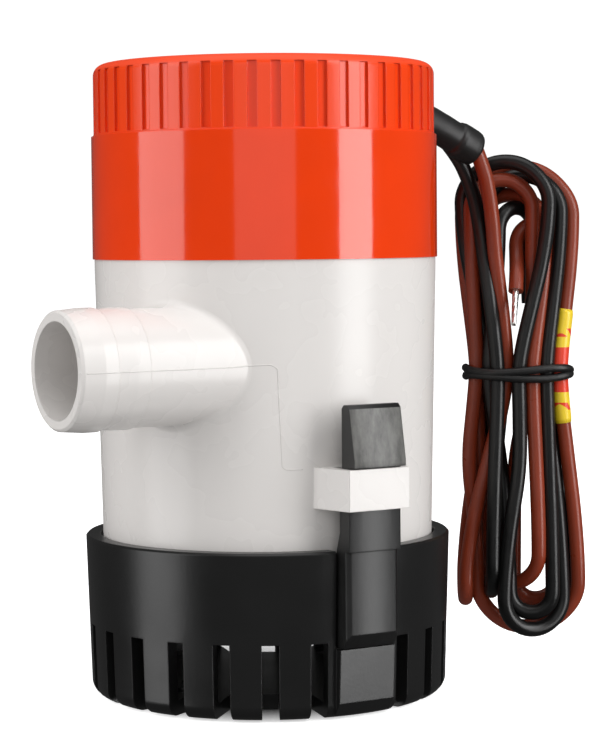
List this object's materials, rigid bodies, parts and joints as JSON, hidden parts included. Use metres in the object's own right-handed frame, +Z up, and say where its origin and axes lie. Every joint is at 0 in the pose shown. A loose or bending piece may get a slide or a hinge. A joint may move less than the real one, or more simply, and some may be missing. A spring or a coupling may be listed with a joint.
{
  "type": "bilge pump",
  "caption": "Small submersible bilge pump: slotted strainer base with two snap latches, white body with side hose nozzle, orange cap, and two tied leads.",
  "frame": {"origin": "centre of the strainer's underside, where it stands on the hull", "axes": "+Z up along the pump's axis; the outlet nozzle points along -X; the latches stand at -Y and +Y; the leads leave at +X"},
  "size_m": [0.1092, 0.0684, 0.1029],
  "materials": {
    "base_black": "satin moulded ABS",
    "shell_white": "glossy moulded ABS",
    "cap_orange": "glossy moulded ABS",
    "label_orange": "laminated film",
    "boot_rubber": "satin rubber",
    "wire_brown": "PVC insulation",
    "wire_black": "PVC insulation",
    "tinned_wire": "tinned strands",
    "tie_black": "plastic-coated twist tie",
    "tag_yellow": "printed film",
    "inner_white": "moulded acetal",
    "impeller_grey": "moulded acetal",
    "seal_rubber": "nitrile rubber",
    "motor_steel": "zinc-plated steel",
    "core_steel": "stacked laminations",
    "ferrite": "sintered ferrite",
    "enamel_copper": "enamelled winding wire",
    "copper": "bare copper",
    "bronze": "sintered bronze",
    "carbon": "pressed carbon",
    "shaft_steel": "ground stainless steel",
    "end_cap_nylon": "moulded nylon"
  },
  "bodies": {
    "strainer": {"strainer_base": "base_black"},
    "latch_front": {"latch_front": "base_black"},
    "latch_rear": {"latch_rear": "base_black"},
    "pump_body": {"outer_housing": "shell_white", "inlet_plate": "inner_white", "motor_case": "inner_white", "shaft_seal": "seal_rubber", "seal_retainer": "bronze", "motor_can": "motor_steel", "front_bearing": "bronze", "rear_bearing": "bronze", "field_magnets": "ferrite", "motor_end_cap": "end_cap_nylon", "carbon_brushes": "carbon", "brush_arms": "copper", "motor_terminals": "copper", "inner_brown_lead": "wire_brown", "inner_black_lead": "wire_black", "cap": "cap_orange", "cap_seal": "seal_rubber", "case_seal": "seal_rubber", "label_band": "label_orange", "cord_boot": "boot_rubber", "brown_lead": "wire_brown", "black_lead": "wire_black", "lead_hank": "wire_black", "bare_wire_ends": "tinned_wire", "wire_tie": "tie_black", "wire_tag": "tag_yellow"},
    "rotor": {"motor_shaft": "shaft_steel", "impeller": "impeller_grey", "armature_core": "core_steel", "armature_windings": "enamel_copper", "commutator": "copper", "thrust_washers": "bronze"}
  },
  "joints": [
    {"name": "lift_off", "type": "slide", "parent": "strainer", "child": "pump_body", "axis": [0, 0, 1], "range_m": [0, 0.045], "deforming": ["latch_front", "latch_rear"]},
    {"name": "rotor_spin", "type": "hinge", "parent": "pump_body", "child": "rotor", "pos_m": [0, 0, 0.045], "axis": [0, 0, 1], "continuous": true},
    {"name": "front_latch_press", "type": "hinge", "parent": "strainer", "child": "latch_front", "pos_m": [0, -0.0292, 0.0115], "axis": [-1, 0, 0], "range_deg": [0, 3.5], "stiffness_Nm_per_rad": 3.5},
    {"name": "rear_latch_press", "type": "hinge", "parent": "strainer", "child": "latch_rear", "pos_m": [0, 0.0292, 0.0115], "axis": [1, 0, 0], "range_deg": [0, 3.5], "stiffness_Nm_per_rad": 3.5}
  ]
}
